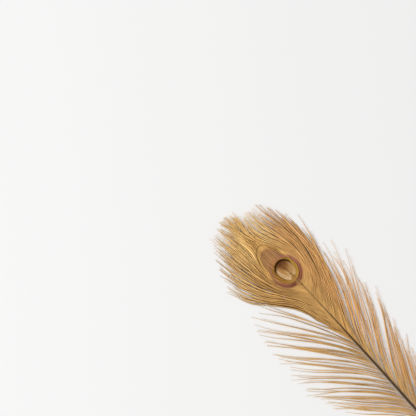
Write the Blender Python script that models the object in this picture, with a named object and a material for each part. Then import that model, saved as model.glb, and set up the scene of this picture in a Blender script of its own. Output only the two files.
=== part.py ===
"""Peacock eye feather, lying on a surface, in one piece: a shaft, a web round the eye, and locks of barbs.

Blender 4.5. Metres, +Z up. +Y runs from the quill to the tip, and the wider vane is on the -X side.
Shapes are worked out in the feather's own lengths: x from the quill's line, y from the quill's end. Every
object is then moved back by MIDDLE, so that the origin lies under the middle of the feather's box.
"""

import math
import random

import bmesh
import bpy
import numpy as np
from mathutils import Vector

MM = 0.001

# Shaft, in metres.
LENGTH = 300 * MM  # the quill's end to the tip of the vane
SHAFT_END = 244 * MM  # the shaft thins out in the middle of the eye
SHAFT_BOW = 3.3 * MM  # how far it bends sideways, at half the feather's length
SHAFT_RISE = 4.0 * MM  # how far it arches clear of the surface, below the web
QUILL_RADIUS = 1.25 * MM
QUILL_GAP = 0.05 * MM  # under the quill's end
SHAFT_TIP_RADIUS = 0.3 * MM
SHAFT_POINTS = 26
FIRST_BARB = 45 * MM  # the quill below this is bare
LAST_BARB = 241 * MM

# Web: the barbs close up into one flat vane round the eye.
WEB_FOOT = 165 * MM
WEB_WIDEST = 250 * MM
WEB_TIP = 288 * MM
WEB_WIDE_SIDE = 27 * MM
WEB_NARROW_SIDE = 21 * MM
WEB_THICK = 0.9 * MM
WEB_EDGE_STEPS = 7  # straight runs in each quarter of the outline
WEB_FULLNESS = 28 * MM  # how far the outline keeps its direction from the foot and the widest places
WEB_WIDE_HOLLOW = 36 * MM  # the same, from the foot on the wide side, whose edge is more hollow
WEB_FOOT_SPREAD = 1 * MM  # how far the narrow side's edge leaves the shaft over that
WEB_SHOULDER = 20 * MM  # the same, above the widest places
WEB_TIP_ROUND = 8 * MM

# Locks: each stands for a few barbs that cling together.
LOCK_WIDTH = 2.2 * MM
LOCK_THICK = 0.8 * MM
LOCK_TIP = 0.35  # a lock's size at its tip, over its full size
LOCK_RUNS = 9
LOCKS_A_SIDE = 36
LOCK_LIFT = (0.25 * MM, 0.45 * MM)  # the least and most gap under a lock
LOCK_LEAN = 4.0  # degrees by which a lock's tip may turn away from its neighbours
LOCK_WEAR = 0.08  # the most that a lock may be worn short, as a share of its length
LANDING = 0.55  # the share of a lock's length by which it has come down to the surface
CROWN_LOCKS = 7
CROWN_DEPTH = 3 * MM  # from the crown's root to the end of the shaft
CROWN_LENGTH = 59 * MM
CROWN_SPREAD = 14.0  # degrees either side of the shaft
CROWN_CURL = (2.2, 1.0, -0.4, -0.2)  # a crown lock's angles over its spread, from root to tip

MIDDLE = Vector((-5.1 * MM, LENGTH / 2, 0))  # of the feather's box, from the quill's end

# How barbs grow, by where they leave the shaft: that place in mm from the quill's end, the angle to the
# shaft in degrees at the root, at a third, at two thirds and at the tip, and the length in mm.
# The wide vane has split at 168 mm, where the web begins.
WIDE_VANE = (
    (45, 28, 40, 45, 46, 38),
    (80, 30, 43, 47, 47, 62),
    (120, 30, 43, 46, 45, 78),
    (145, 26, 40, 43, 41, 87),
    (158, 20, 34, 37, 34, 88),
    (167, 13, 28, 32, 28, 85),
    (169, 10, 26, 38, 27, 96),
    (180, 12, 30, 36, 20, 100),
    (195, 18, 36, 24, 10, 98),
    (208, 28, 36, 12, 4, 92),
    (218, 44, 28, 2, 2, 84),
    (227, 62, 18, -6, 2, 76),
    (235, 66, 8, -10, 0, 68),
    (243, 40, -2, -8, 0, 58),
)
NARROW_VANE = (
    (45, 22, 26, 26, 24, 38),
    (80, 22, 27, 28, 26, 64),
    (120, 20, 28, 28, 22, 82),
    (150, 14, 27, 24, 12, 92),
    (170, 10, 28, 16, 4, 96),
    (190, 16, 28, 4, -8, 96),
    (205, 26, 26, -4, -10, 92),
    (216, 42, 20, -8, -8, 85),
    (226, 62, 14, -12, -6, 76),
    (235, 66, 4, -14, -2, 67),
    (243, 40, -4, -10, 0, 58),
)
ANGLE_PLACES = (0, 1 / 3, 2 / 3, 1)

GOLDEN_TAN = (0.50, 0.30, 0.11, 1.0)

chance = random.Random(7)


def clear_scene():
    for thing in list(bpy.data.objects):
        bpy.data.objects.remove(thing, do_unlink=True)


def new_collection(name):
    collection = bpy.data.collections.new(name)
    bpy.context.scene.collection.children.link(collection)
    return collection


def dyed_feather():
    material = bpy.data.materials.new("dyed feather")
    material.use_nodes = True
    surface = material.node_tree.nodes["Principled BSDF"]
    surface.inputs["Base Color"].default_value = GOLDEN_TAN
    surface.inputs["Roughness"].default_value = 0.6
    surface.inputs["Metallic"].default_value = 0.0
    return material


def smooth_step(share):
    share = min(max(share, 0.0), 1.0)
    return share * share * (3 - 2 * share)


def shaft_x(y):
    """The shaft's sideways place: a shallow parabola from end to end."""
    along = y / LENGTH
    return 4 * SHAFT_BOW * along * (1 - along)


def shaft_radius(y):
    """Even along the bare quill, then a steady taper to the eye."""
    along = max(y - FIRST_BARB, 0) / (SHAFT_END - FIRST_BARB)
    return QUILL_RADIUS + (SHAFT_TIP_RADIUS - QUILL_RADIUS) * along


def shaft_z(y):
    """The height of the shaft's middle: on the surface at the quill, arched, then half sunk in the web."""
    rise = SHAFT_RISE * math.sin(math.pi * min(y / WEB_FOOT, 1.0)) ** 2
    quill = QUILL_RADIUS + QUILL_GAP
    return quill + (WEB_THICK - quill) * smooth_step(y / WEB_FOOT) + rise


def place_curve(curve, name, collection, z=0.0):
    thing = bpy.data.objects.new(name, curve)
    thing.location = Vector((0, 0, z)) - MIDDLE
    collection.objects.link(thing)
    return thing


def curve_to_mesh(thing, collection):
    """Puts a closed mesh in the curve's place, with the caps welded to the sides."""
    graph = bpy.context.evaluated_depsgraph_get()
    mesh = bpy.data.meshes.new_from_object(thing.evaluated_get(graph))
    shape = bmesh.new()
    shape.from_mesh(mesh)
    bmesh.ops.remove_doubles(shape, verts=shape.verts, dist=0.01 * MM)
    bmesh.ops.recalc_face_normals(shape, faces=shape.faces)
    shape.to_mesh(mesh)
    shape.free()
    name = thing.name
    solid = bpy.data.objects.new("solid", mesh)
    solid.matrix_world = thing.matrix_world
    collection.objects.link(solid)
    bpy.data.objects.remove(thing, do_unlink=True)
    solid.name = name
    return solid


def tapered_curve(points, radii, name):
    """An open run through the points, with its own radius at each."""
    curve = bpy.data.curves.new(name, "CURVE")
    curve.dimensions = "3D"
    curve.twist_mode = "Z_UP"
    curve.use_fill_caps = True
    spline = curve.splines.new("POLY")
    spline.points.add(len(points) - 1)
    for point, place, radius in zip(spline.points, points, radii):
        point.co = (*place, 1)
        point.radius = radius
    return curve


def add_shaft(collection):
    """Quill and rachis: one tapered round rod, a little arched."""
    along = np.linspace(0, SHAFT_END, SHAFT_POINTS)
    points = [(shaft_x(y), y, shaft_z(y)) for y in along]
    radii = [shaft_radius(y) for y in along]
    curve = tapered_curve(points, radii, "feather")
    curve.bevel_depth = 1.0
    curve.bevel_resolution = 2
    return curve_to_mesh(place_curve(curve, "feather", collection), collection)


def add_web(collection):
    """The flat vane round the eye: pointed down the shaft, widest beside the eye, round at the top."""
    up = Vector((0, 1, 0))
    across = Vector((1, 0, 0))
    foot = Vector((shaft_x(WEB_FOOT), WEB_FOOT, 0))
    tip = Vector((0, WEB_TIP, 0))
    wide = Vector((-WEB_WIDE_SIDE, WEB_WIDEST, 0))
    narrow = Vector((WEB_NARROW_SIDE, WEB_WIDEST, 0))
    corners = (
        (foot, foot + up * WEB_WIDE_HOLLOW, foot + up * WEB_FULLNESS + across * WEB_FOOT_SPREAD),
        (narrow, narrow - up * WEB_FULLNESS, narrow + up * WEB_SHOULDER),
        (tip, tip + across * WEB_TIP_ROUND, tip - across * WEB_TIP_ROUND),
        (wide, wide + up * WEB_SHOULDER, wide - up * WEB_FULLNESS),
    )
    curve = bpy.data.curves.new("web", "CURVE")
    curve.dimensions = "2D"
    curve.fill_mode = "BOTH"
    curve.extrude = WEB_THICK / 2
    curve.resolution_u = WEB_EDGE_STEPS
    spline = curve.splines.new("BEZIER")
    spline.bezier_points.add(len(corners) - 1)
    for point, (place, before, after) in zip(spline.bezier_points, corners):
        point.handle_left_type = "FREE"
        point.handle_right_type = "FREE"
        point.co = place
        point.handle_left = before
        point.handle_right = after
    spline.use_cyclic_u = True
    return curve_to_mesh(place_curve(curve, "web", collection, WEB_THICK / 2), collection)


def lock_section(collection):
    """A lock's cross-section, one unit wide: a flat diamond."""
    curve = bpy.data.curves.new("lock section", "CURVE")
    curve.dimensions = "2D"
    half = LOCK_THICK / LOCK_WIDTH / 2
    spline = curve.splines.new("POLY")
    spline.points.add(3)
    for point, (x, y) in zip(spline.points, ((-0.5, 0), (0, -half), (0.5, 0), (0, half))):
        point.co = (x, y, 0, 1)
    spline.use_cyclic_u = True
    return place_curve(curve, "lock section", collection)


def barb_course(angles, side, root, length):
    """The flat course of a barb from its root, turning with its angles, on side -1 or +1."""
    step = length / LOCK_RUNS
    place = root.copy()
    course = [place.copy()]
    for run in range(LOCK_RUNS):
        angle = math.radians(np.interp((run + 0.5) / LOCK_RUNS, ANGLE_PLACES, angles))
        place += Vector((side * math.sin(angle), math.cos(angle))) * step
        course.append(place.copy())
    return course


def add_lock(course, root_z, name, section, collection):
    """A flat tapered lock along the course, which comes down from the shaft to the surface."""
    lift = chance.uniform(*LOCK_LIFT)
    points = []
    radii = []
    for index, place in enumerate(course):
        share = index / LOCK_RUNS
        size = 1 - (1 - LOCK_TIP) * share**1.5
        low = lift + LOCK_THICK / 2
        z = low + (root_z - low) * (1 - smooth_step(share / LANDING))
        points.append((place.x, place.y, z))
        radii.append(LOCK_WIDTH * size)
    curve = tapered_curve(points, radii, name)
    curve.bevel_mode = "OBJECT"
    curve.bevel_object = section
    return curve_to_mesh(place_curve(curve, name, collection), collection)


def add_vane(vane, side, name, section, collection):
    """The locks of one side of the shaft, evenly spaced from the first barb to the eye."""
    rows = np.array(vane, float)
    for index, y in enumerate(np.linspace(FIRST_BARB, LAST_BARB, LOCKS_A_SIDE)):
        grown = [np.interp(y / MM, rows[:, 0], rows[:, column]) for column in range(1, 6)]
        lean = chance.uniform(-LOCK_LEAN, LOCK_LEAN)
        angles = np.array(grown[:4]) + np.array(ANGLE_PLACES) * lean
        length = grown[4] * MM * (1 - chance.uniform(0, LOCK_WEAR))
        course = barb_course(angles, side, Vector((shaft_x(y), y)), length)
        add_lock(course, shaft_z(y), f"{name} {index:02}", section, collection)


def add_crown(section, collection):
    """The locks that fan out from the end of the shaft to the feather's tip."""
    y = SHAFT_END - CROWN_DEPTH
    for index, lean in enumerate(np.linspace(-CROWN_SPREAD, CROWN_SPREAD, CROWN_LOCKS)):
        angles = lean * np.array(CROWN_CURL)
        course = barb_course(angles, 1, Vector((shaft_x(y), y)), CROWN_LENGTH)
        add_lock(course, shaft_z(y), f"crown lock {index}", section, collection)


def join_all(thing, collection):
    """Makes one solid of the thing and everything in the collection."""
    join = thing.modifiers.new("join", "BOOLEAN")
    join.operation = "UNION"
    join.operand_type = "COLLECTION"
    join.collection = collection
    join.solver = "EXACT"
    for shape in collection.objects:
        shape.hide_render = True
        shape.display_type = "WIRE"


def main():
    clear_scene()
    whole = new_collection("peacock feather")
    joined = new_collection("joined shapes")
    feather = add_shaft(whole)
    feather.data.materials.append(dyed_feather())
    section = lock_section(whole)
    add_web(joined)
    add_vane(WIDE_VANE, -1, "wide vane lock", section, joined)
    add_vane(NARROW_VANE, 1, "narrow vane lock", section, joined)
    add_crown(section, joined)
    bpy.data.objects.remove(section, do_unlink=True)
    join_all(feather, joined)


main()
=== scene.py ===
"""Peacock eye feather, dyed golden tan, lying on a pale board.

The shaft is one tapered rod. Every barb is a thin ribbon with barbules cut along its edges, grown along its
own course from the shaft. The eye is drawn across the barbs by the material, as pigment is on the real one.

Lengths of the feather are measured from the end of the quill: x to the narrow vane's side, y to the tip.
"""

import logging
import math
from dataclasses import astuple, dataclass, field
from enum import Enum
from functools import partial
from typing import Callable, Sequence

import bmesh
import bpy
import numpy as np
from bmesh.types import BMEdge, BMesh
from bpy.types import ID, Material, Mesh, Node, NodeSocket, NodeTree, Object
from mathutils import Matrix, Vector


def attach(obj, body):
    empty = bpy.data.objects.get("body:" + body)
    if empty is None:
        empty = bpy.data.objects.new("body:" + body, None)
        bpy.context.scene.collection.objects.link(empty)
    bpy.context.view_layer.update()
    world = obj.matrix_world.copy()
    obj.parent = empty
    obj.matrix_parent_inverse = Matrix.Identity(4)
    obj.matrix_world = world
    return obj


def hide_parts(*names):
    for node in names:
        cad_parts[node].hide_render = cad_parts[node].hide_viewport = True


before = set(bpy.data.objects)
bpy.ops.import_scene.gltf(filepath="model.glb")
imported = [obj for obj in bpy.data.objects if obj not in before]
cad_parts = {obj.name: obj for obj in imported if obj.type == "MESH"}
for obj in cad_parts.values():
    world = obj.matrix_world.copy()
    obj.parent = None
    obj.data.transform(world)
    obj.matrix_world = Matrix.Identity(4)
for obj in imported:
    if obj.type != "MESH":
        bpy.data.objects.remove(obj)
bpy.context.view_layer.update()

MM = 0.001
FEATHER = "feather"
BODY = "root"
BAKE_MAP = "OFBake"

# The quill's end in the frame. The feather's own lengths start here.
QUILL_X, QUILL_Y = 5.1 * MM, -150 * MM
QUILL_END = np.array((QUILL_X, QUILL_Y))

Pair = tuple[float, float]
Triple = tuple[float, float, float]
Array = np.ndarray
Chance = np.random.Generator
Socket = NodeSocket

log = logging.getLogger("feather")


# Small tools


def linear(hex_colour: str) -> tuple[float, float, float, float]:
    """Turns an sRGB hex value into the linear colour that shaders take.

    Args:
        hex_colour: six hex digits after a hash.

    Returns:
        Red, green, blue and an alpha of one.
    """
    parts = [int(hex_colour[place : place + 2], 16) / 255 for place in (1, 3, 5)]
    red, green, blue = (p / 12.92 if p <= 0.04045 else ((p + 0.055) / 1.055) ** 2.4 for p in parts)
    return red, green, blue, 1.0


def smooth(value: Array, start: float | Array = 0, end: float = 1) -> Array:
    """Eases from 0 at the start to 1 at the end, which may be the lower of the two."""
    share = np.clip((value - start) / (end - start), 0, 1)
    return share * share * (3 - 2 * share)


def new_material(name: str, values: dict[str, object]) -> tuple[Material, Node]:
    """Starts a material.

    Args:
        name: its name.
        values: what is even all over its surface, by the name of the Principled BSDF's input.

    Returns:
        The material and its Principled BSDF.
    """
    material = bpy.data.materials.new(name)
    material.use_nodes = True
    surface = material.node_tree.nodes["Principled BSDF"]
    for key, value in values.items():
        surface.inputs[key].default_value = value
    return material, surface


def add_node(
    tree: NodeTree, kind: str, inputs: dict | None = None, output: int | str = 0, **settings
) -> Socket:
    """Adds a node.

    Args:
        tree: the node tree.
        kind: the node's type name, without the leading ShaderNode.
        inputs: values or output sockets, by the input's name or number.
        output: the wanted output's name or number.
        settings: the node's own properties.

    Returns:
        The output's socket.
    """
    node = tree.nodes.new("ShaderNode" + kind)
    for name, value in settings.items():
        setattr(node, name, value)
    for key, value in (inputs or {}).items():
        if isinstance(value, Socket):
            tree.links.new(value, node.inputs[key])
        else:
            node.inputs[key].default_value = value
    return node.outputs[output]


def finish_piece(piece: Object, material: Material) -> None:
    """Dresses a piece, puts it on the body, and has it stand for the feather's solid.

    Args:
        piece: the piece.
        material: its only material.
    """
    piece.data.materials.clear()
    piece.data.materials.append(material)
    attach(piece, BODY)
    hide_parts(FEATHER)


def new_object(name: str, data: ID | BMesh) -> Object:
    """Links a new object.

    Args:
        name: its name, and its data's.
        data: its mesh, lamp or camera, or a bmesh to make its mesh from and free.

    Returns:
        The object.
    """
    if isinstance(data, BMesh):
        form, data = data, bpy.data.meshes.new(name)
        form.to_mesh(data)
        form.free()
    data.name = name
    thing = bpy.data.objects.new(name, data)
    bpy.context.scene.collection.objects.link(thing)
    return thing


def straight_rod(sides: int, runs: int) -> BMesh:
    """A rod one unit long and two across, along +Z, pointed at both ends.

    Args:
        sides: corners of its section; the first is at +Y.
        runs: rings of faces along it.

    Returns:
        The rod as a bmesh.
    """
    rod = bmesh.new()
    bmesh.ops.create_cone(
        rod, cap_ends=True, cap_tris=False, segments=sides, radius1=1, radius2=1, depth=1
    )
    bmesh.ops.translate(rod, verts=rod.verts, vec=(0, 0, 0.5))
    uprights = [edge for edge in rod.edges if abs(edge.verts[0].co.z - edge.verts[1].co.z) > 0.5]
    bmesh.ops.subdivide_edges(rod, edges=uprights, cuts=runs - 1, use_grid_fill=True)
    for end in (0, 1):
        ring = [vert for vert in rod.verts if abs(vert.co.z - end) < 0.5 / runs]
        bmesh.ops.pointmerge(rod, verts=ring, merge_co=(0, 0, end))
    return rod


def line_through(row: Sequence[float], steps: int) -> Array:
    """Draws a smooth line through points.

    Args:
        row: the points, x and y in turn.
        steps: how many steps of even length to give.

    Returns:
        The line's steps + 1 places.
    """
    points = np.array(row, dtype=float).reshape(-1, 2)
    gaps = np.linalg.norm(np.diff(points, axis=0), axis=1)
    at = np.concatenate([[0], np.cumsum(gaps)])
    slope = np.gradient(points, at, axis=0)
    spot = np.linspace(0, at[-1], steps + 1)
    span = np.clip(np.searchsorted(at, spot, side="right") - 1, 0, len(gaps) - 1)
    gap = gaps[span][:, None]
    u = (spot - at[span])[:, None] / gap
    start, end = points[span], points[span + 1]
    leave, arrive = slope[span] * gap, slope[span + 1] * gap
    return start + (end - start) * smooth(u) + leave * u * (1 - u) ** 2 - arrive * u * u * (1 - u)


# The shaft


@dataclass
class Shaft:
    """Quill and rachis: the horn rod that carries the barbs."""

    feather_length: float = 300 * MM
    end: float = 244 * MM
    bow: float = 3.3 * MM  # how far it bends sideways
    rise: float = 4.0 * MM  # how high it arches over the board
    quill_radius: float = 1.25 * MM
    tip_radius: float = 0.3 * MM
    first_barb: float = 45 * MM
    web_foot: float = 165 * MM
    web_thick: float = 0.9 * MM
    # Where it becomes finer than its steady taper: from and to, in mm, and by what share.
    finer: tuple[Triple, ...] = ((165, 210, 0.3), (214.72, 234.72, 0.2))
    cut_slant: float = 1.3 * MM  # how far the slanting cut reaches to each side of its middle
    wall: float = 0.3 * MM
    hollow: float = 4 * MM
    sides: int = 16
    runs: int = 180

    def x(self, y: Array) -> Array:
        """The shaft's sideways place at y."""
        along = y / self.feather_length
        return 4 * self.bow * along * (1 - along)

    def radius(self, y: Array) -> Array:
        """The shaft's radius at y: even along the quill, then a steady taper."""
        along = np.maximum(y - self.first_barb, 0) / (self.end - self.first_barb)
        return self.quill_radius + (self.tip_radius - self.quill_radius) * along

    def z(self, y: Array) -> Array:
        """Arches the shaft between the quill and the web, which lie on the board.

        Args:
            y: where along the shaft.

        Returns:
            The height of its middle.
        """
        share = np.minimum(y / self.web_foot, 1)
        rise = self.rise * np.sin(math.pi * share) ** 2
        quill = self.quill_radius + 0.05 * MM
        return quill + (self.web_thick - quill) * smooth(share) + rise

    def build(self) -> Object:
        """Bends and tapers a straight rod into the shaft.

        Returns:
            The shaft.
        """
        rod = straight_rod(self.sides, self.runs)
        self.cut_end(rod)
        thing = new_object("shaft", rod)
        mesh = thing.data
        places = np.empty(len(mesh.vertices) * 3)
        mesh.vertices.foreach_get("co", places)
        across, up, along = places.reshape(-1, 3).T
        y = along * self.end
        radius = self.radius(y) * (1 - sum(part * smooth(y / MM, *run) for *run, part in self.finer))
        bent = np.stack([self.x(y) + across * radius, y, self.z(y) + up * radius], 1)
        bent[:, :2] += QUILL_END
        mesh.vertices.foreach_set("co", bent.ravel())
        mesh.shade_smooth()
        mesh.set_sharp_from_angle(angle=math.radians(50))
        mesh.update()
        return thing

    def cut_end(self, rod: BMesh) -> None:
        """Cuts the quill slantwise and hollows it.

        Args:
            rod: the straight rod, one unit long.
        """
        start = self.cut_slant / self.end
        slice_through = bmesh.ops.bisect_plane(
            rod,
            geom=rod.verts[:] + rod.edges[:] + rod.faces[:],
            plane_co=(0, 0, start),
            plane_no=(0, start, -1),
            clear_outer=True,
        )
        edges = [item for item in slice_through["geom_cut"] if isinstance(item, BMEdge)]
        mouth = bmesh.ops.edgeloop_fill(rod, edges=edges)["faces"]
        wall = self.wall / self.quill_radius
        bmesh.ops.inset_region(rod, faces=mouth, thickness=wall, use_even_offset=True)
        bmesh.ops.translate(rod, verts=mouth[0].verts, vec=(0, 0, self.hollow / self.end))
        bmesh.ops.recalc_face_normals(rod, faces=rod.faces)


# The barbs


class Side(Enum):
    """The two vanes, by the side of the shaft that they grow on."""

    WIDE = -1
    NARROW = 1


@dataclass(frozen=True)
class Growth:
    """How a loose barb grows at one place on the shaft.

    Place and length are in mm. The others are its angles to the shaft along its course, in degrees.
    """

    place: float
    root: float
    third: float
    two_thirds: float
    tip: float
    length: float


ANGLE_PLACES = (0, 1 / 3, 2 / 3, 1)
LOOSE_GROWTH = {
    Side.WIDE: (
        Growth(45, 28, 40, 45, 46, 38),
        Growth(80, 30, 43, 47, 47, 62),
        Growth(120, 30, 43, 46, 45, 76),
        Growth(145, 26, 40, 43, 41, 84),
        Growth(158, 20, 34, 37, 34, 86),
        Growth(168, 12, 27, 31, 27, 84),
    ),
    Side.NARROW: (
        Growth(45, 22, 26, 26, 24, 38),
        Growth(80, 22, 27, 28, 26, 64),
        Growth(120, 20, 28, 28, 22, 82),
        Growth(150, 14, 27, 24, 12, 92),
        Growth(168, 10, 28, 17, 5, 96),
    ),
}

# The courses of some barbs around the eye, from root to tip: x and y in turn, in mm. The others run between.
EYE_COURSES = {
    Side.WIDE: (
        (3.8, 168, -1, 182, -6, 198, -11, 212, -18, 222, -26, 230.5, -34, 239, -41, 254),
        (3.6, 180, -1, 196, -6.5, 211, -14, 223.5, -23, 233, -30.5, 246, -37, 268),
        (3.3, 195, -0.5, 207, -6, 218, -14, 229.5, -22, 243, -27.5, 260, -31.5, 284),
        (2.9, 208, -1, 216.5, -7, 225, -13.5, 235, -18.7, 250, -22, 268, -24.5, 291),
        (2.7, 217, -1, 222.8, -6.5, 229, -11.5, 237, -14.8, 251, -16, 268, -19.5, 296),
        (2.5, 223, -1.2, 226.5, -6.2, 231, -10.8, 238, -12.7, 251, -12, 264, -12.4, 277, -15.5, 297),
        (2.3, 226.5, -2, 227.8, -6.5, 231.2, -10, 236, -11.6, 243, -11.4, 252, -9.8, 260, -7.6, 267,
         -8.4, 277, -14.2, 295),
        (2.1, 230, -2, 231, -6.5, 234.8, -9.3, 240, -10, 248, -9.2, 256, -7, 263, -5.9, 270, -7, 279,
         -12.2, 298),
        (1.9, 234, -1.2, 235.8, -4.8, 239.8, -6.7, 246, -6.9, 254, -6, 262, -5.2, 270, -5.9, 281, -9.8, 300),
        (1.7, 238, -0.6, 240.3, -3, 245, -4.3, 252, -4.6, 260, -4.4, 268, -4.7, 280, -7.2, 300),
        (1.3, 242, 0.3, 245, -0.6, 249.5, -1.6, 256, -2.4, 263, -3, 271, -3.6, 281, -5, 299.5),
        (1.2, 244, 1, 248, 0.6, 253, -0.3, 260, -1.5, 268, -2.5, 279, -3, 299.5),
    ),
    Side.NARROW: (
        (3.8, 168, 7, 179, 12, 193, 18, 208, 24, 224, 28, 242, 30.5, 266),
        (3.6, 180, 7.5, 191, 13, 205, 19, 219, 24, 235, 26, 253, 26.5, 277),
        (3.4, 192, 8, 203, 14, 215.5, 19.5, 229, 22.6, 245, 22.5, 262, 21.6, 285),
        (3, 204, 8, 213, 13.5, 223, 18, 235, 19.6, 249, 18.6, 264, 16.3, 279, 15, 292),
        (2.8, 213, 8, 220, 13, 228.5, 16.2, 239, 17, 251, 15.6, 263, 12.4, 275, 10.2, 291),
        (2.6, 220, 7.2, 224, 11.6, 230, 14.1, 238, 14.2, 248, 11.8, 258, 8, 267, 5.2, 276, 5.4, 292),
        (2.4, 225, 6.5, 227, 10.5, 231.5, 12.6, 238.5, 12.2, 247, 9.6, 255, 6, 262, 2.4, 268.5, 0.4, 275.5,
         3.4, 290),
        (2.2, 229, 5.6, 230.2, 9.2, 234.5, 10.9, 240.5, 10.3, 247.5, 7.8, 254, 4.2, 260.5, 0.6, 266.6,
         -1.6, 273.5, -1.2, 283, 1.6, 294),
        (1.9, 233, 5, 235, 7.6, 239.5, 8.6, 246, 7.6, 253, 5, 259.5, 1.8, 265.8, -1.2, 272.5, -1.8, 282,
         0.6, 297),
        (1.7, 237, 4.4, 240, 5.8, 245.5, 5.6, 252.5, 4, 259, 1.5, 265.5, -1, 272, -2, 281, -1.4, 299),
        (1.4, 241, 2.7, 244.5, 3, 250, 2.3, 257, 1, 264, -1.2, 271, -2.4, 280, -2.6, 296),
        (1.2, 244, 1, 248, 0.5, 254, -0.4, 261, -1.6, 269, -2.4, 278, -1, 294),
    ),
}


@dataclass(frozen=True)
class Cut:
    """The form of one barb."""

    runs: int  # rings of faces from root to tip
    notch: float  # depth of the notches between barbules, over half the barb's width
    lean: float  # how far a barbule's tip leans forward, in runs
    width: float
    thick: float
    point: float  # its width at the tip, over the full width
    tilt: float  # degrees by which its inner edge is raised


@dataclass
class Vane:
    """The barbs of one vane that leave the shaft between two places, as one piece."""

    name: str
    shaft: Shaft
    side: Side
    roots: Array  # where each barb leaves the shaft
    cut: Cut
    seed: int
    steps: int = 160  # in which a course is worked out
    sides: int = 8  # corners of a barb's section
    margin: float = 0.06  # of a strip of the map, left free at its sides
    opened: float = 0.6  # how far a clump opens again at its tips
    # The shares of a course at which clinging to a clump starts and is full, and how tight it is.
    cling: Triple = (0.05, 0.7, 0.7)
    crowded: float = 0.5 * MM  # the distance between neighbours below which their shades even out
    chance: Chance = field(init=False)  # its random numbers

    @property
    def share(self) -> Array:
        """The steps of a course, from 0 at the root to 1 at the tip."""
        return np.linspace(0, 1, self.steps + 1)

    def draw(self, low: float, high: float) -> Array:
        """One random number for each barb."""
        return self.chance.uniform(low, high, (len(self.roots), 1))

    def template(self) -> BMesh:
        """One straight barb, unwrapped in the first of the piece's strips.

        Returns:
            The barb: x runs across it from -1 to 1, y through its thickness and z from root to tip.
        """
        rod = straight_rod(self.sides, self.cut.runs)
        layer = rod.loops.layers.uv.new(BAKE_MAP)
        strip = 1 / len(self.roots)
        for face in rod.faces:
            upper = 1 if face.normal.y > 0 else 0
            for loop in face.loops:
                across = (loop.vert.co.x**3 + 1) / 2
                v = (upper + self.margin + (1 - 2 * self.margin) * across) / 2
                loop[layer].uv = (loop.vert.co.z, v * strip)
        for vert in rod.verts:
            vert.co.x **= 3
            crest = (1 - abs(vert.co.x)) ** 2
            vert.co.y = crest if vert.co.y > 0 else -0.4 * crest
            if abs(vert.co.x) > 0.9:
                if round(vert.co.z * self.cut.runs) % 2:
                    vert.co.x *= 1 - self.cut.notch
                else:
                    vert.co.z += self.cut.lean / self.cut.runs
        return rod

    def copies(self, rod: BMesh) -> Mesh:
        """Repeats the straight barb, each in its own strip of the map.

        Args:
            rod: the straight barb.

        Returns:
            All the barbs, still straight and in one place.
        """
        thing = new_object(self.name + "_straight", rod)
        row = thing.modifiers.new("row", "ARRAY")
        row.count = len(self.roots)
        row.use_relative_offset = False
        row.offset_v = 1 / len(self.roots)
        graph = bpy.context.evaluated_depsgraph_get()
        barbs = bpy.data.meshes.new_from_object(thing.evaluated_get(graph))
        bpy.data.objects.remove(thing)
        return barbs

    def courses(self) -> Array:
        """Where each barb's middle line runs, seen from above."""
        raise NotImplementedError

    def widths(self, line: Array) -> Array:
        """How wide each barb is along its course."""
        raise NotImplementedError

    def heights(self, line: Array) -> Array:
        """How high each barb's middle line runs."""
        raise NotImplementedError

    def rolls(self) -> Array:
        """By how many degrees each barb is turned on its own line, its inner edge up."""
        raise NotImplementedError

    def shades(self) -> Array:
        """How dark or light each barb is, from -1 to 1."""
        return self.chance.uniform(-0.45, 0.4, len(self.roots))

    def starts(self) -> Array:
        """The barbs' roots, in the middle of the shaft."""
        return np.stack([self.shaft.x(self.roots), self.roots], 1)[:, None]

    def taper(self, root: float, full: float, wane: float) -> Array:
        """A barb's width: a share of it at the root, all of it from full on, less again from wane on."""
        rise = root + (1 - root) * smooth(self.share, 0, full)
        return rise * (1 - (1 - self.cut.point) * smooth(self.share, wane))

    def descent(self, low: Array, landing: float) -> Array:
        """A barb's height: from the side of the shaft down to its own low, reached at the landing."""
        root = (self.shaft.z(self.roots) - 0.3 * self.shaft.radius(self.roots))[:, None]
        return low + (root - low) * (1 - smooth(self.share, 0, landing))

    @staticmethod
    def beside(line: Array) -> Array:
        """The direction across each barb, at each step of its course."""
        ahead = np.gradient(line, axis=1)
        return np.stack([ahead[:, :, 1], -ahead[:, :, 0]], 2) / np.linalg.norm(ahead, axis=2, keepdims=True)

    def apart(self, line: Array) -> Array:
        """How far each barb runs from its neighbours, at each step of its course."""
        return np.abs((np.gradient(line, axis=0) * self.beside(line)).sum(2))

    @staticmethod
    def groups(count: int, fewest: int, most: int, chance: Chance) -> list[slice]:
        """Parts the row of barbs into small clumps.

        Args:
            count: how many barbs there are.
            fewest: barbs in the smallest clump.
            most: barbs in the largest clump.
            chance: the source of random numbers.

        Returns:
            The clumps, in order along the shaft.
        """
        ends = [0]
        while ends[-1] < count:
            ends.append(min(ends[-1] + int(chance.integers(fewest, most + 1)), count))
        return [slice(first, last) for first, last in zip(ends, ends[1:])]

    def clumped(self, line: Array, groups: Sequence[slice]) -> Array:
        """Draws the barbs of each clump together.

        Args:
            line: the middle lines of free barbs.
            groups: the clumps.

        Returns:
            The middle lines of barbs that cling to each other.
        """
        start, full, pull = self.cling
        line = line.copy()
        for group in groups:
            onset = start + self.chance.uniform(-0.1, 0.1)
            hold = pull * self.chance.uniform(0.6, 1) * smooth(self.share, onset, full)
            hold = hold * (1 - self.opened * smooth(self.share, 0.7))
            line[group] += (line[group].mean(0) - line[group]) * hold[:, None]
        return line

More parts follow.
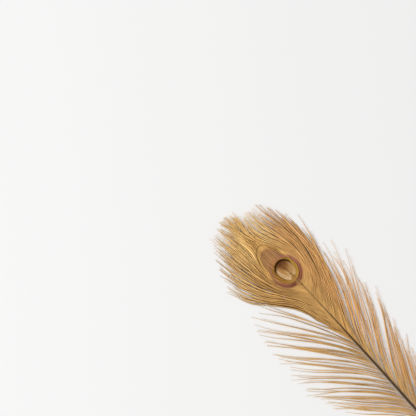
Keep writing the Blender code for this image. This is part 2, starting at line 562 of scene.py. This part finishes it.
    def read(self, values: Array, along: Array) -> Array:
        """Reads values that are given at the steps of the barbs' courses.

        Args:
            values: a number or a point for each barb and step.
            along: where to read them on each barb, from 0 to 1.

        Returns:
            The values there.
        """
        spot = along * self.steps
        before = np.minimum(spot.astype(int), self.steps - 1)
        rest = spot - before
        if values.ndim == 3:
            rest = rest[:, :, None]
        which = np.arange(len(values))[:, None]
        return values[which, before] + (values[which, before + 1] - values[which, before]) * rest

    def build(self) -> Object:
        """Grows the barbs on the shaft.

        Returns:
            The piece.
        """
        self.chance = np.random.default_rng(self.seed)
        line = self.courses()
        length = np.linalg.norm(np.gradient(line, axis=1), axis=2).sum(1)
        width = self.widths(line)
        height = self.heights(line)
        roll = np.radians(self.rolls()) * self.side.value

        mesh = self.copies(self.template())
        places = np.empty(len(mesh.vertices) * 3)
        mesh.vertices.foreach_get("co", places)
        across, up, along = places.reshape(len(line), -1, 3).transpose(2, 0, 1)
        crowding = self.draw(0.85, 1.15)  # keeps neighbours' barbules from lining up
        along = np.clip(along, 0, 1) ** crowding
        turn = self.read(roll, along)
        half = self.read(width, along) / 2 * across
        rise = up * self.cut.thick
        out = half * np.cos(turn) + rise * np.sin(turn)
        flat = self.read(line, along) + self.read(self.beside(line), along) * out[:, :, None]
        z = self.read(height, along) - half * np.sin(turn) + rise * np.cos(turn)
        grown = np.concatenate([flat + QUILL_END, z[:, :, None]], 2)
        mesh.vertices.foreach_set("co", grown.ravel())

        room = smooth(self.apart(line), 0, self.crowded) * (0.15 + 0.85 * smooth(self.share, 0, 0.08))
        rank = (np.arange(len(line)) + 1000 * self.seed)[:, None]
        notes = {  # what the material reads at every vertex
            "shade": self.shades()[:, None] * self.read(room, along),
            "reach": along * length[:, None] / MM,
            "inward": -self.side.value * across,
            "share": along,
            "rank": np.broadcast_to(rank, along.shape),
        }
        for name, values in notes.items():
            note = mesh.attributes.new(name, "FLOAT", "POINT")
            note.data.foreach_set("value", values.ravel().astype(np.float32))
        mesh.shade_smooth()
        mesh.update()
        return new_object(self.name, mesh)


@dataclass
class LooseVane(Vane):
    """Loose barbs below the eye: long, separate, and clinging here and there."""

    cling: Triple = (0.05, 0.45, 0.72)
    wander: float = 7  # degrees by which a course may waver
    spread: float = 1.8  # degrees by which courses differ from their neighbours'
    twist: float = 28  # degrees by which a barb may turn on its own line
    lift: Pair = (0.45 * MM, 1.6 * MM)  # how high a barb lies on the board
    sway: Pair = (0, 1.6 * MM)  # how much higher it passes on its way
    wear: float = 0.12  # the most that it may have lost at its tip, over its length

    def courses(self) -> Array:
        """Turns the growth angles, step by step, into courses.

        Returns:
            The middle lines, seen from above.
        """
        places, *angles, lengths = np.array([astuple(growth) for growth in LOOSE_GROWTH[self.side]]).T
        place = self.roots / MM
        angles = np.stack([np.interp(place, places, column) for column in angles], 1)
        worn = 1 - self.chance.uniform(0, self.wear, len(place))
        length = np.interp(place, places, lengths) * MM * worn
        share = (np.arange(self.steps) + 0.5) / self.steps
        turn = np.stack([np.interp(share, ANGLE_PLACES, row) for row in angles])
        wave = self.draw(0.5, 1.5) * share + self.draw(0, 1)
        turn = turn + self.wander * share * np.sin(math.tau * wave)
        turn = np.radians(turn + self.chance.normal(0, self.spread, (len(self.roots), 1)))
        step = (length / self.steps)[:, None]
        run = np.stack([self.side.value * np.sin(turn) * step, np.cos(turn) * step], 2)
        start = self.starts()
        line = np.concatenate([start, start + np.cumsum(run, 1)], 1)
        return self.clumped(line, self.groups(len(self.roots), 1, 3, self.chance))

    def widths(self, line: Array) -> Array:
        """How wide each barb is along its course."""
        return self.cut.width * self.taper(0.4, 0.15, 0.5) * self.draw(0.8, 1.15)

    def heights(self, line: Array) -> Array:
        """How high each barb's middle line runs: from the shaft down to the board, then along it."""
        low, sway = (self.draw(*span) for span in (self.lift, self.sway))
        return self.descent(low, 0.5) + sway * np.sin(math.pi * self.share) ** 2

    def rolls(self) -> Array:
        """By how many degrees each barb is turned on its own line."""
        dip = self.draw(-1, 1)
        return self.cut.tilt + self.twist * dip * np.sin(math.tau * (self.share * 1.3 + dip))


@dataclass
class EyeVane(Vane):
    """The close barbs around the eye. Each lies with its inner edge on the next, and they meet above it."""

    overlap: float = 1.4  # a barb's width over the distance to its neighbour
    widest: float = 1.35 * MM
    layer: float = 1.3 * MM  # how far the barbs around the eye pass above those inside it
    lift: Pair = (0.55 * MM, 0.7 * MM)  # how high a barb lies without all this
    ripple: float = 0.3 * MM  # how far the web heaves up and down
    wear: float = 0.15  # the most that a barb may have lost at its tip, over its length
    stray: float = 0.3 * MM  # how far its tip may lie off its even place
    fine_from: float = 213 * MM  # where strands become finer
    sunk: float = 0.32 * MM  # how far the first barb of a strand lies below the others
    under: float = 0.85  # how much wider it is, so that it shows between the strands as painted shade
    stray_share: float = 0.25  # of the barbs that leave their strand and cross others
    astray: float = 5 * MM  # how far, at their tips
    above: float = 0.5 * MM  # how far these pass above
    kink: float = 0.1 * MM  # how far a barb's short waves reach
    uneven: float = 0.22 * MM  # how far a strand may lie off its even place
    sway: float = 0.38 * MM  # how far its long waves reach
    strands: list[slice] = field(init=False)

    def __post_init__(self) -> None:
        """Parts the barbs into strands: pairs below the eye, and then pairs or threes."""
        chance = np.random.default_rng(self.seed)
        below = int((self.roots < self.fine_from).sum())
        thick = self.groups(below, 2, 2, chance)
        fine = self.groups(len(self.roots) - below, 2, 3, chance)
        self.strands = thick + [slice(part.start + below, part.stop + below) for part in fine]

    def strays(self) -> Array:
        """Marks the barbs that leave their strand with 1, the others with 0."""
        chance = np.random.default_rng(self.seed + 100)
        return (chance.uniform(0, 1, len(self.roots)) < self.stray_share) * (1 - self.firsts())

    def firsts(self) -> Array:
        """Marks the first barb of each strand with 1, the others with 0."""
        return np.isin(np.arange(len(self.roots)), [strand.start for strand in self.strands]) * 1.0

    def shades(self) -> Array:
        """Makes each strand start with a dark barb, painted shade that shows between the strands.

        Returns:
            How dark or light each barb is, from -1 to 1.
        """
        shades = self.chance.normal(0.2, 0.2, len(self.roots))
        for strand in self.strands:
            shades[strand] += self.chance.normal(0.1, 0.2)
            # The first barb of each strand is dark: painted shade between the strands.
            shades[strand.start] = self.chance.uniform(-0.85, -0.3)
        return np.clip(shades, -1, 1)

    def courses(self) -> Array:
        """Draws the barbs' courses between the known ones.

        Returns:
            The middle lines, seen from above.
        """
        known = np.array([line_through(row, self.steps) for row in EYE_COURSES[self.side]]) * MM
        places = known[:, 0, 1]
        rank = np.interp(self.roots, places, np.arange(len(places)))
        low = np.minimum(rank.astype(int), len(places) - 2)
        part = (rank - low)[:, None, None]
        line = known[low] * (1 - part) + known[low + 1] * part
        line = line + (self.starts() - line[:, :1]) * (1 - smooth(self.share, 0, 0.15))[:, None]
        worn = 1 - self.wear * self.chance.uniform(0, 1, len(line)) ** 2
        stray = np.clip(self.chance.standard_t(3, (len(line), 2)), -6, 6) * self.stray
        line = line + stray[:, None] * smooth(self.share, 0.2)[:, None]
        line = self.clumped(line, self.strands)
        line[:, :, 0] += self.aside(line)
        return self.read(line, self.share * worn[:, None])

    def aside(self, line: Array) -> Array:
        """Bends strands and barbs off their courses, apart from those over the eye.

        Args:
            line: the middle lines.

        Returns:
            How far to move them along x, at each step.
        """
        share = self.share
        bend = np.zeros((len(line), len(share)))
        for strand in self.strands:
            sway, phase = self.chance.normal(0, self.sway), self.chance.uniform(0, 1)
            wave = sway * np.sin(math.tau * (1.2 * share + phase)) + self.chance.normal(0, self.uneven)
            bend[strand] = wave * smooth(share, 0, 0.6)
        onset = self.draw(0.3, 0.7)
        off = self.draw(-self.astray, self.astray) * self.strays()[:, None]
        wave = self.draw(4, 9) * share + self.draw(0, 1)
        kink = self.kink * np.sin(math.tau * wave) * smooth(share, 0, 0.2)
        outer = smooth(self.roots / MM, 228, 220)[:, None]
        free = np.maximum(outer, smooth(line[:, :, 1] / MM, 269, 281))
        return (off * smooth(share, onset) + bend + kink) * free

    def widths(self, line: Array) -> Array:
        """Makes each barb wide enough to close the vane, up to a limit.

        Args:
            line: the middle lines.

        Returns:
            The widths along their courses.
        """
        late = smooth(self.share, 0.7)
        width = np.clip(self.overlap * self.apart(line), self.cut.width, self.widest * (1 - 0.6 * late))
        width = width * (1 + self.under * self.firsts()[:, None] * (1 - late))
        return width * self.taper(0.85, 0.05, 0.75) * self.draw(0.9, 1.1)

    def heights(self, line: Array) -> Array:
        """Lets the barbs around the eye pass above those inside it.

        Args:
            line: the middle lines.

        Returns:
            How high the middle lines run.
        """
        low = self.draw(*self.lift)
        place = (self.roots / MM)[:, None]
        layer = smooth(place, 244, 224) * smooth(place, 190, 210) * smooth(self.share, 0, 0.4)
        away = smooth(self.share, 0, 0.3)
        ripple = 1 + np.sin(line[:, :, 0] / (5 * MM) + line[:, :, 1] / (9 * MM))
        above = self.above * self.strays()[:, None] * smooth(self.share, 0, 0.6)
        web = self.descent(low, 0.25) + self.layer * layer + above
        return web + (self.ripple * ripple - self.sunk * self.firsts()[:, None]) * away

    def rolls(self) -> Array:
        """By how many degrees each barb is turned on its own line."""
        inside = smooth(self.roots / MM, 226, 232)[:, None] * smooth(self.share, 0.4, 0.2)
        return (self.cut.tilt + self.chance.normal(0, 2.5, (len(self.roots), 1))) * (1 - 0.7 * inside)


# Finishes


EASED = {"interpolation_type": "SMOOTHSTEP"}
NOTES = ("shade", "reach", "inward", "share", "rank")  # what Vane.build notes at every vertex


@dataclass(frozen=True)
class Point:
    """A shaded point of a barb: where it is, in mm from the middle of the eye, and where on its barb."""

    node: Callable[..., Socket]  # adds a node
    flat: Socket
    egg: Socket  # the same, stretched sideways towards the tip, so that ovals become pointed
    x: Socket
    y: Socket
    shade: Socket  # how dark or light its barb is, from -1 to 1: its own uneven tone, and painted shade on each eye strand's first barb
    reach: Socket  # how far from the barb's root, in mm
    inward: Socket  # the place across the barb, from -1 to 1 on the side of the eye
    share: Socket  # how far from root to tip, from 0 to 1
    rank: Socket  # the barb's number
    row: Socket  # rank and reach as a place, for patterns that run along barbs
    aside: Socket  # how far from the barb's ridge, from 0 to 1


@dataclass(frozen=True)
class Oval:
    """An oval with a soft edge, in mm from the middle of the eye."""

    x: float  # its middle
    y: float
    half_width: float
    half_height: float
    soft: float = 0.06  # half the width of its edge, over its size
    lean: float = 0  # degrees by which its top leans to the wide vane
    pointed: bool = False

    def inside(self, point: Point) -> Socket:
        """Tells how far a point is inside.

        Args:
            point: the point.

        Returns:
            1 within the oval and 0 outside.
        """
        place = {
            "Vector": point.egg if self.pointed else point.flat,
            "Location": (self.x, self.y, 0),
            "Rotation": (0, 0, math.radians(self.lean)),
            "Scale": (self.half_width, self.half_height, 1),
        }
        local = point.node("Mapping", place, vector_type="TEXTURE")
        size = point.node("VectorMath", {0: local}, "Value", operation="LENGTH")
        edge = {"Value": size, "From Min": 1 + self.soft, "From Max": 1 - self.soft}
        return point.node("MapRange", edge, **EASED)


@dataclass(frozen=True)
class Patch:
    """A patch of pigment or of painted shadow, where all of its ovals meet."""

    colour: str
    ovals: tuple[Oval, ...]
    amount: float = 1
    fade: Pair | None = None  # the heights at which it starts and is full, in mm

    def lay(self, point: Point, under: Socket) -> Socket:
        """Lays the patch's colour on.

        Args:
            point: the point.
            under: the colour without it.

        Returns:
            The colour with it.
        """
        share = self.amount
        parts = [oval.inside(point) for oval in self.ovals]
        if self.fade:
            ease = {"Value": point.y, "From Min": self.fade[0], "From Max": self.fade[1]}
            parts.append(point.node("MapRange", ease, **EASED))
        for part in parts:
            share = point.node("Math", {0: part, 1: share}, operation="MULTIPLY")
        return point.node("Mix", {0: share, 6: under, 7: linear(self.colour)}, 2, data_type="RGBA")


EYE = Oval(-1.35, 5.8, 11.05, 20.1, 0.035, 9.4, pointed=True)
RIM_SHADOW = Oval(-1.35, 5.8, 12.1, 21.2, 0.03, 9.4, pointed=True)
BAND = Oval(0.1, 0.3, 11.3, 12.9, 0.07)
RING = Oval(0.1, 0.3, 8.7, 9.7, 0.05)
PUPIL = Oval(0.1, 1.7, 7.15, 7.8, 0.05)
BELOW_ARCH = Oval(0.1, -0.2, 6.6, 7.5, 0.11)

# The pigment of the eye, from the lowest layer up, with a painted shadow around its rim. A patch without a
# comment shades the one above it.
PATCHES = (
    Patch("#ffd58b", (Oval(-6, 44, 17, 24, 0.35),), 0.8),  # paler tuft
    Patch("#edbb72", (Oval(-3.5, 29.5, 5.5, 7, 0.6),), 0.9),  # where barbs meet above the eye
    Patch("#c6935c", (Oval(8, -19, 7, 13, 0.6),), 0.2),  # redder below it, at the right
    Patch("#b98a50", (Oval(-17, -8, 13, 20, 0.6),), 0.5),  # duller wide vane
    Patch("#a5703a", (RIM_SHADOW, Oval(-6, 23, 11, 10, 0.5)), 0.6),  # painted shadow around the rim, where the outer barbs overlie it
    Patch("#fecb7b", (EYE,), fade=(0, 3)),  # golden rim
    Patch("#fdc97e", (EYE, Oval(-6, 22, 6, 7, 0.6)), 0.8),
    Patch("#cf9856", (EYE, Oval(4.5, 20, 4, 6, 0.6)), 0.8),
    Patch("#c79462", (Oval(-1.1, 5, 8.4, 17.4, 0.06, 8),), fade=(0, 3)),  # bronze field
    Patch("#7d5030", (EYE, Oval(-3.7, 18, 0.5, 5.5, 0.7, 5)), 0.45),  # its dark stripe
    Patch("#a8755c", (EYE, Oval(4.4, 10, 1.6, 6, 0.5, 14)), 0.55),  # its red edge
    Patch("#bb7c66", (BAND,), fade=(15, 5)),  # purple-brown band
    Patch("#bb8657", (BAND, Oval(-6.5, 11.5, 5.5, 6.5, 0.4)), 0.8),
    Patch("#955c45", (BAND,), fade=(4, -8)),
    Patch("#b0745a", (BAND, Oval(-8.5, -5, 5, 6, 0.5)), 0.8),
    Patch("#7f4930", (BAND,), 0.75, fade=(-8, -13)),
    Patch("#cf9d5c", (BAND, Oval(-9.7, 0.6, 0.8, 5.4, 0.4, 14)), 0.65),  # gold barbs over it
    Patch("#b98a55", (Oval(1.5, -12.6, 1.9, 2.6, 0.5),), 0.8),  # its gap at the shaft
    Patch("#ad7d38", (Oval(0.1, 3.6, 8.8, 6, 0.08),)),  # olive ring, broad at its shoulders
    Patch("#ad7d38", (RING,)),
    Patch("#b8913e", (RING, Oval(8.5, -1.5, 8, 11, 0.4))),
    Patch("#b28746", (RING, Oval(1.5, -9.5, 7, 3.5, 0.5)), 0.9),
    Patch("#70481c", (Oval(0.1, 0.2, 6.5, 7.3, 0.08),), 0.6),  # brown pupil
    Patch("#3a1b0a", (PUPIL,), fade=(1, 4.5)),  # dark arch
    Patch("#8a5528", (BELOW_ARCH,), fade=(-2, 2.5)),
    Patch("#d6b184", (BELOW_ARCH, Oval(-2.6, -0.3, 2.95, 6.8, 0.06, 15))),  # left lobe
    Patch("#bd8a4c", (BELOW_ARCH, Oval(-2, 1.8, 1.6, 5.4, 0.6, 12)), 0.9),
    Patch("#cba678", (BELOW_ARCH, Oval(3.8, -0.2, 2.45, 5.8, 0.1, -4))),  # right lobe
    Patch("#b1824a", (BELOW_ARCH, Oval(3.4, 1.8, 2, 5, 0.6)), 0.9),
    Patch("#80522d", (BELOW_ARCH, Oval(1.2, 6.2, 3.6, 5.2, 0.5))),  # the arch's soft lower edge
    Patch("#5e3a22", (BELOW_ARCH,), fade=(3.6, 7.5)),
    Patch("#b48847", (Oval(1.5, -6.6, 0.8, 3.6, 0.5),), 0.85),  # olive wedge between the lobes
)


@dataclass(frozen=True)
class DyedBarbs:
    """Feather keratin, bleached and dyed golden tan.

    The eye's own dark pigment shows through the dye. The barbules give a satin sheen across each barb.
    Shade is painted on each barb's outer edge, in the gaps between its barbules and on each eye strand's
    first barb, with a painted highlight along its ridge.
    """

    name: str
    edge: float  # how dark the painted shade on a barb's outer edge is
    eye_x: float = 0.3  # the middle of the eye, in mm
    eye_y: float = 240.5
    roughness: float = 0.55
    barbule: float = 0.4  # from one to the next, in mm: ten times too coarse, as real ones wouldn't show
    streaks: Pair = (0.45, 0.09)  # per barb and mm: two barbs wide and 11 mm long
    dashes: Pair = (7.3, 0.4)  # per barb and mm: the painted edge shade comes in dashes 2.5 mm long, new on each barb
    gap_shade: float = 0.28  # how much darker the gaps between barbules are painted, as painted shade
    gap_depth: float = 0.04 * MM
    offset: float = 0.22  # mm by which a lighter barb's pattern lies off a middling one's

    def build(self) -> Material:
        """Makes the material.

        Returns:
            The material.
        """
        even = {
            "Roughness": self.roughness,
            "Specular IOR Level": 0.18,
            "Specular Tint": linear("#f0c890"),
            "Sheen Weight": 0.04,
            "Sheen Tint": linear("#e0b878"),
        }
        material, surface = new_material(self.name, even)
        node = partial(add_node, material.node_tree)
        point = self.point(node)
        gaps = self.barbules(point)
        colour = self.dye(point)
        for patch in PATCHES:
            colour = patch.lay(point, colour)
        colour = self.edges(point, self.strands(point, colour))
        # Painted shade in the gaps between barbules.
        scale = node("Math", {0: gaps, 1: -self.gap_shade, 2: 1.0}, operation="MULTIPLY_ADD")
        colour = node("VectorMath", {0: colour, "Scale": scale}, operation="SCALE")
        material.node_tree.links.new(colour, surface.inputs["Base Color"])
        relief = {"Height": gaps, "Distance": self.gap_depth, "Strength": 0.5}
        material.node_tree.links.new(node("Bump", relief, invert=True), surface.inputs["Normal"])
        return material

    def point(self, node: Callable[..., Socket]) -> Point:
        """Measures a point from the middle of the eye, a little displaced from barb to barb.

        Args:
            node: adds a node to the tree.

        Returns:
            The point.
        """
        notes = {name: node("Attribute", output="Fac", attribute_name=name) for name in NOTES}
        middle = (QUILL_X / MM + self.eye_x, QUILL_Y / MM + self.eye_y, 0)
        shift = node("Math", {0: notes["shade"], 1: self.offset}, operation="MULTIPLY")
        shift = node("CombineXYZ", {1: shift})
        place = node("TexCoord", output="Object")
        place = node("VectorMath", {0: place, 1: (1 / MM, 1 / MM, 0)}, operation="MULTIPLY")
        place = node("VectorMath", {0: place, 1: middle}, operation="SUBTRACT")
        flat = node("VectorMath", {0: place, 1: shift}, operation="ADD")
        x = node("SeparateXYZ", {0: flat}, "X")
        y = node("SeparateXYZ", {0: flat}, "Y")
        # From 5 mm up, what is drawn in it gets narrower, by 1.4% a millimetre.
        above = node("Math", {0: y, 1: 5.0}, operation="MAXIMUM")
        stretch = node("Math", {0: above, 1: 0.014, 2: 0.93}, operation="MULTIPLY_ADD")
        wider = node("Math", {0: x, 1: stretch}, operation="MULTIPLY")
        egg = node("CombineXYZ", {0: wider, 1: y})
        row = node("CombineXYZ", {0: notes["rank"], 1: notes["reach"]})
        aside = node("Math", {0: notes["inward"]}, operation="ABSOLUTE")
        return Point(node, flat, egg, x, y, row=row, aside=aside, **notes)

    def dye(self, point: Point) -> Socket:
        """Golden tan, lighter towards the tips and more orange in the narrow vane.

        Args:
            point: the point.

        Returns:
            The colour.
        """
        ramp = point.node("ValToRGB", {"Fac": point.share})
        elements = ramp.node.color_ramp.elements
        elements[0].color, elements[1].color = linear("#d4a666"), linear("#f0cb93")
        elements.new(0.6).color = linear("#e2b370")
        ease = {"Value": point.x, "From Min": 6, "From Max": 16, "To Max": 0.6}
        warm = point.node("MapRange", ease, **EASED)
        return point.node("Mix", {0: warm, 6: ramp, 7: linear("#eeb474")}, 2, data_type="RGBA")

    def strands(self, point: Point, colour: Socket) -> Socket:
        """Makes strands lighter and darker: by the barb, and in streaks that run along them. The dark first
        barb of each eye strand is painted shade between the strands.

        Args:
            point: the point.
            colour: the pigment's colour.

        Returns:
            The colour.
        """
        node = point.node
        streak = node("Mapping", {"Vector": point.row, "Scale": (*self.streaks, 1)})
        streak = node("TexNoise", {"Vector": streak, "Scale": 1.0, "Detail": 2.0}, "Fac")
        streak = node("Math", {0: streak, 1: 1.6, 2: -0.8}, operation="MULTIPLY_ADD")  # from -0.8 to 0.8
        light = node("Math", {0: point.shade, 1: streak}, operation="ADD")
        # Strands show least inside the eye, and fade towards the tips.
        above = node("MapRange", {"Value": point.y, "From Min": -3, "From Max": 4})
        field = node("Math", {0: EYE.inside(point), 1: above}, operation="MULTIPLY")
        inside = node("Math", {0: field, 1: RING.inside(point)}, operation="MAXIMUM")
        strength = node("Math", {0: inside, 1: -0.44, 2: 0.62}, operation="MULTIPLY_ADD")
        less = {0: PUPIL.inside(point), 1: -0.1, 2: strength}
        strength = node("Math", less, operation="MULTIPLY_ADD")
        ease = {"Value": point.share, "From Min": 0.2, "From Max": 0.9, "To Min": 1.0, "To Max": 0.35}
        for factor in (strength, node("MapRange", ease, **EASED)):
            light = node("Math", {0: light, 1: factor}, operation="MULTIPLY")
        scale = node("MapRange", {"Value": light, "To Min": 1.0, "To Max": 1.8})
        colour = node("VectorMath", {0: colour, "Scale": scale}, operation="SCALE")
        # Darker barbs turn deep brown: the barbs' own uneven tone, and painted shade on the first barb of
        # each eye strand.
        depth = node("MapRange", {"Value": light, "From Max": -0.7})
        dark = {0: depth, 6: colour, 7: linear("#6e3c18")}
        return node("Mix", dark, 2, data_type="RGBA", blend_type="MULTIPLY")

    def edges(self, point: Point, colour: Socket) -> Socket:
        """Paints shade on each barb's outer edge, where it runs under its neighbour, and a highlight along
        its ridge.

        Args:
            point: the point.
            colour: the strand's colour.

        Returns:
            The colour.
        """
        node = point.node
        # Painted shade on the outer edge, where the neighbouring barb overlies it, broken into dashes and
        # calmer inside the eye.
        ease = {"Value": point.inward, "From Min": -0.2, "From Max": -0.8, "To Max": 0.8 * self.edge}
        outer = node("MapRange", ease, **EASED)
        dashes = node("Mapping", {"Vector": point.row, "Scale": (*self.dashes, 1)})
        dashes = node("TexNoise", {"Vector": dashes, "Scale": 1.0, "Detail": 1.0}, "Fac")
        dashes = {"Value": dashes, "From Min": 0.4, "From Max": 0.62, "To Min": 0.3, "To Max": 1.2}
        calm = node("Math", {0: EYE.inside(point), 1: -0.7, 2: 1.0}, operation="MULTIPLY_ADD")
        for factor in (node("MapRange", dashes), calm):
            outer = node("Math", {0: outer, 1: factor}, operation="MULTIPLY")
        dark = {0: outer, 6: colour, 7: linear("#7a5230")}
        colour = node("Mix", dark, 2, data_type="RGBA", blend_type="MULTIPLY")
        # Painted highlight along the barb's ridge.
        ease = {"Value": point.aside, "From Min": 0.25, "From Max": 0.05, "To Min": 1.0, "To Max": 1.18}
        ridge = node("MapRange", ease, **EASED)
        return node("VectorMath", {0: colour, "Scale": ridge}, operation="SCALE")

    def barbules(self, point: Point) -> Socket:
        """Draws the gaps between barbules, which slant forward from the ridge.

        Args:
            point: the point.

        Returns:
            1 in a gap and 0 on a barbule.
        """
        node = point.node
        slant = node("Math", {0: point.aside, 1: -4.0}, operation="MULTIPLY")
        phase = {0: point.reach, 1: math.tau / self.barbule, 2: slant}
        wave = node("Math", phase, operation="MULTIPLY_ADD")
        wave = node("Math", {0: wave}, operation="SINE")
        lines = node("MapRange", {"Value": wave, "From Min": 0.1}, **EASED)
        ease = {"Value": point.aside, "From Min": 0.12, "From Max": 0.35}
        beside = node("MapRange", ease, **EASED)
        return node("Math", {0: lines, 1: beside}, operation="MULTIPLY")


@dataclass(frozen=True)
class StainedHorn:
    """Quill keratin, grown smooth and stained by the dye: dark, pale at the quill, with a soft gloss."""

    stain: tuple[tuple[float, str], ...] = (  # its colours, by the distance from the quill's end in mm
        (20, "#a98558"), (110, "#4a3520"), (175, "#4e3923"), (200, "#7d6241"),
        (216, "#8f6f46"), (228, "#8a683e"), (234, "#b08a52"), (241, "#94703f"),
    )
    fibres: Triple = (1.2, 0.06, 1.2)  # per mm: far coarser than real ones, so as to show
    roughness: float = 0.38

    def build(self) -> Material:
        """Makes the material.

        Returns:
            The material.
        """
        even = {"Roughness": self.roughness, "Specular IOR Level": 0.3}
        material, surface = new_material("stained keratin quill", even)
        node = partial(add_node, material.node_tree)
        place = node("TexCoord", output="Object")
        y = node("SeparateXYZ", {0: place}, "Y")
        (start, first), *between, (end, last) = self.stain
        ease = {"Value": y, "From Min": QUILL_Y + start * MM, "From Max": QUILL_Y + end * MM}
        colour = node("ValToRGB", {"Fac": node("MapRange", ease)})
        stops = colour.node.color_ramp.elements
        stops[0].color, stops[1].color = linear(first), linear(last)
        for distance, stain in between:
            stops.new((distance - start) / (end - start)).color = linear(stain)
        grain = tuple(scale / MM for scale in self.fibres)
        fibres = node("Mapping", {"Vector": place, "Scale": grain})
        fibres = node("TexNoise", {"Vector": fibres, "Scale": 1.0, "Detail": 3.0}, "Fac")
        ease = {"Value": fibres, "From Min": 0.3, "From Max": 0.7, "To Min": 0.84, "To Max": 1.14}
        fibres = node("MapRange", ease)
        colour = node("VectorMath", {0: colour, "Scale": fibres}, operation="SCALE")
        material.node_tree.links.new(colour, surface.inputs["Base Color"])
        return material


# The studio


@dataclass
class Studio:
    """A pale board, soft light from above, and a camera that looks straight down."""

    aim: Vector  # the point of the eye that the camera is placed by
    view_width: float = 299.5 * MM  # what the picture shows across
    camera_height: float = 1.2
    roll: float = -42.07  # degrees by which the camera is turned
    aim_right: float = 55.7 * MM  # that point's place in the picture, from its middle
    aim_up: float = -43.8 * MM
    sensor: float = 36.0
    sky: float = 0.58  # strength of the light from all round
    lamp_place: Triple = (-1.35, 1.2, 2.15)
    lamp_size: float = 1.6
    lamp_power: float = 44

    def build(self) -> None:
        """Sets up the board, the lights and the camera."""
        self.board()
        self.lights()
        self.camera()

    def board(self) -> None:
        """The board that the feather lies on: uncoated card, matt and almost white."""
        board = bmesh.new()
        bmesh.ops.create_grid(board, x_segments=1, y_segments=1, size=3)
        thing = new_object("board", board)
        even = {"Base Color": linear("#f4f5f7"), "Roughness": 0.9, "Specular IOR Level": 0.1}
        thing.data.materials.append(new_material("uncoated white card", even)[0])

    def lights(self) -> None:
        """Even light from all round, and one large soft lamp above and to one side."""
        world = bpy.data.worlds.new("studio")
        bpy.context.scene.world = world
        world.use_nodes = True
        sky = world.node_tree.nodes["Background"]
        sky.inputs["Color"].default_value = (1.0, 0.985, 0.955, 1)
        sky.inputs["Strength"].default_value = self.sky
        lamp = bpy.data.lights.new("softbox", "AREA")
        lamp.shape = "SQUARE"
        lamp.size = self.lamp_size
        lamp.energy = self.lamp_power
        lamp.color = (1.0, 0.995, 0.985)
        thing = new_object("softbox", lamp)
        thing.location = self.lamp_place
        thing.rotation_euler = (-thing.location).to_track_quat("-Z", "Y").to_euler()
        bpy.context.scene.view_settings.view_transform = "Standard"

    def camera(self) -> None:
        """Puts the eye where the picture has it."""
        turn = math.radians(self.roll)
        right = Vector((math.cos(turn), math.sin(turn), 0))
        up = Vector((-math.sin(turn), math.cos(turn), 0))
        lens = bpy.data.cameras.new("camera")
        lens.sensor_width = self.sensor
        lens.lens = self.sensor * self.camera_height / self.view_width
        thing = new_object("camera", lens)
        middle = self.aim - right * self.aim_right - up * self.aim_up
        thing.location = middle + Vector((0, 0, self.camera_height))
        thing.rotation_euler = (0, 0, turn)
        bpy.context.scene.camera = thing


def roots(*runs: Triple) -> Array:
    """Where barbs leave the shaft, in metres, from each run's start, end and spacing in mm."""
    return np.concatenate([np.arange(first, last, spacing) for first, last, spacing in runs]) * MM


def main() -> None:
    """Builds the feather and the studio, and reports each piece."""
    logging.basicConfig(level=logging.INFO, format="%(message)s")
    shaft = Shaft()
    horn = StainedHorn().build()
    loose_barbs = DyedBarbs("dyed keratin loose barbs", 0.4).build()
    eye_barbs = DyedBarbs("dyed keratin eye barbs", 1.0).build()
    loose = Cut(runs=160, notch=0.4, lean=0.9, width=0.92 * MM, thick=0.14 * MM, point=0.3, tilt=6)
    close = Cut(runs=190, notch=0.18, lean=0.9, width=0.5 * MM, thick=0.11 * MM, point=0.45, tilt=12)
    low, web = roots((45, 168, 1.7)), roots((168.5, 195, 1.3), (195, 213, 1.0))
    eye = roots((213, 216, 0.75), (216, 230.5, 0.47), (230.5, 242, 0.85), (242, 244.1, 0.42))
    vanes = (
        LooseVane("wide_loose_barbs", shaft, Side.WIDE, low, loose, 11),
        LooseVane("narrow_loose_barbs", shaft, Side.NARROW, low, loose, 13),
        EyeVane("wide_web_barbs", shaft, Side.WIDE, web, close, 12),
        EyeVane("narrow_web_barbs", shaft, Side.NARROW, web, close, 14),
        EyeVane("wide_eye_barbs", shaft, Side.WIDE, eye, close, 15),
        EyeVane("narrow_eye_barbs", shaft, Side.NARROW, eye, close, 16),
    )
    dressed = [(shaft.build(), horn)]
    for vane in vanes:
        dressed.append((vane.build(), loose_barbs if isinstance(vane, LooseVane) else eye_barbs))
    for piece, material in dressed:
        finish_piece(piece, material)
        log.info("%s: %d faces", piece.name, len(piece.data.polygons))
    Studio(Vector((QUILL_X + 1.06 * MM, QUILL_Y + 242 * MM, 0))).build()


if __name__ == "__main__":
    main()
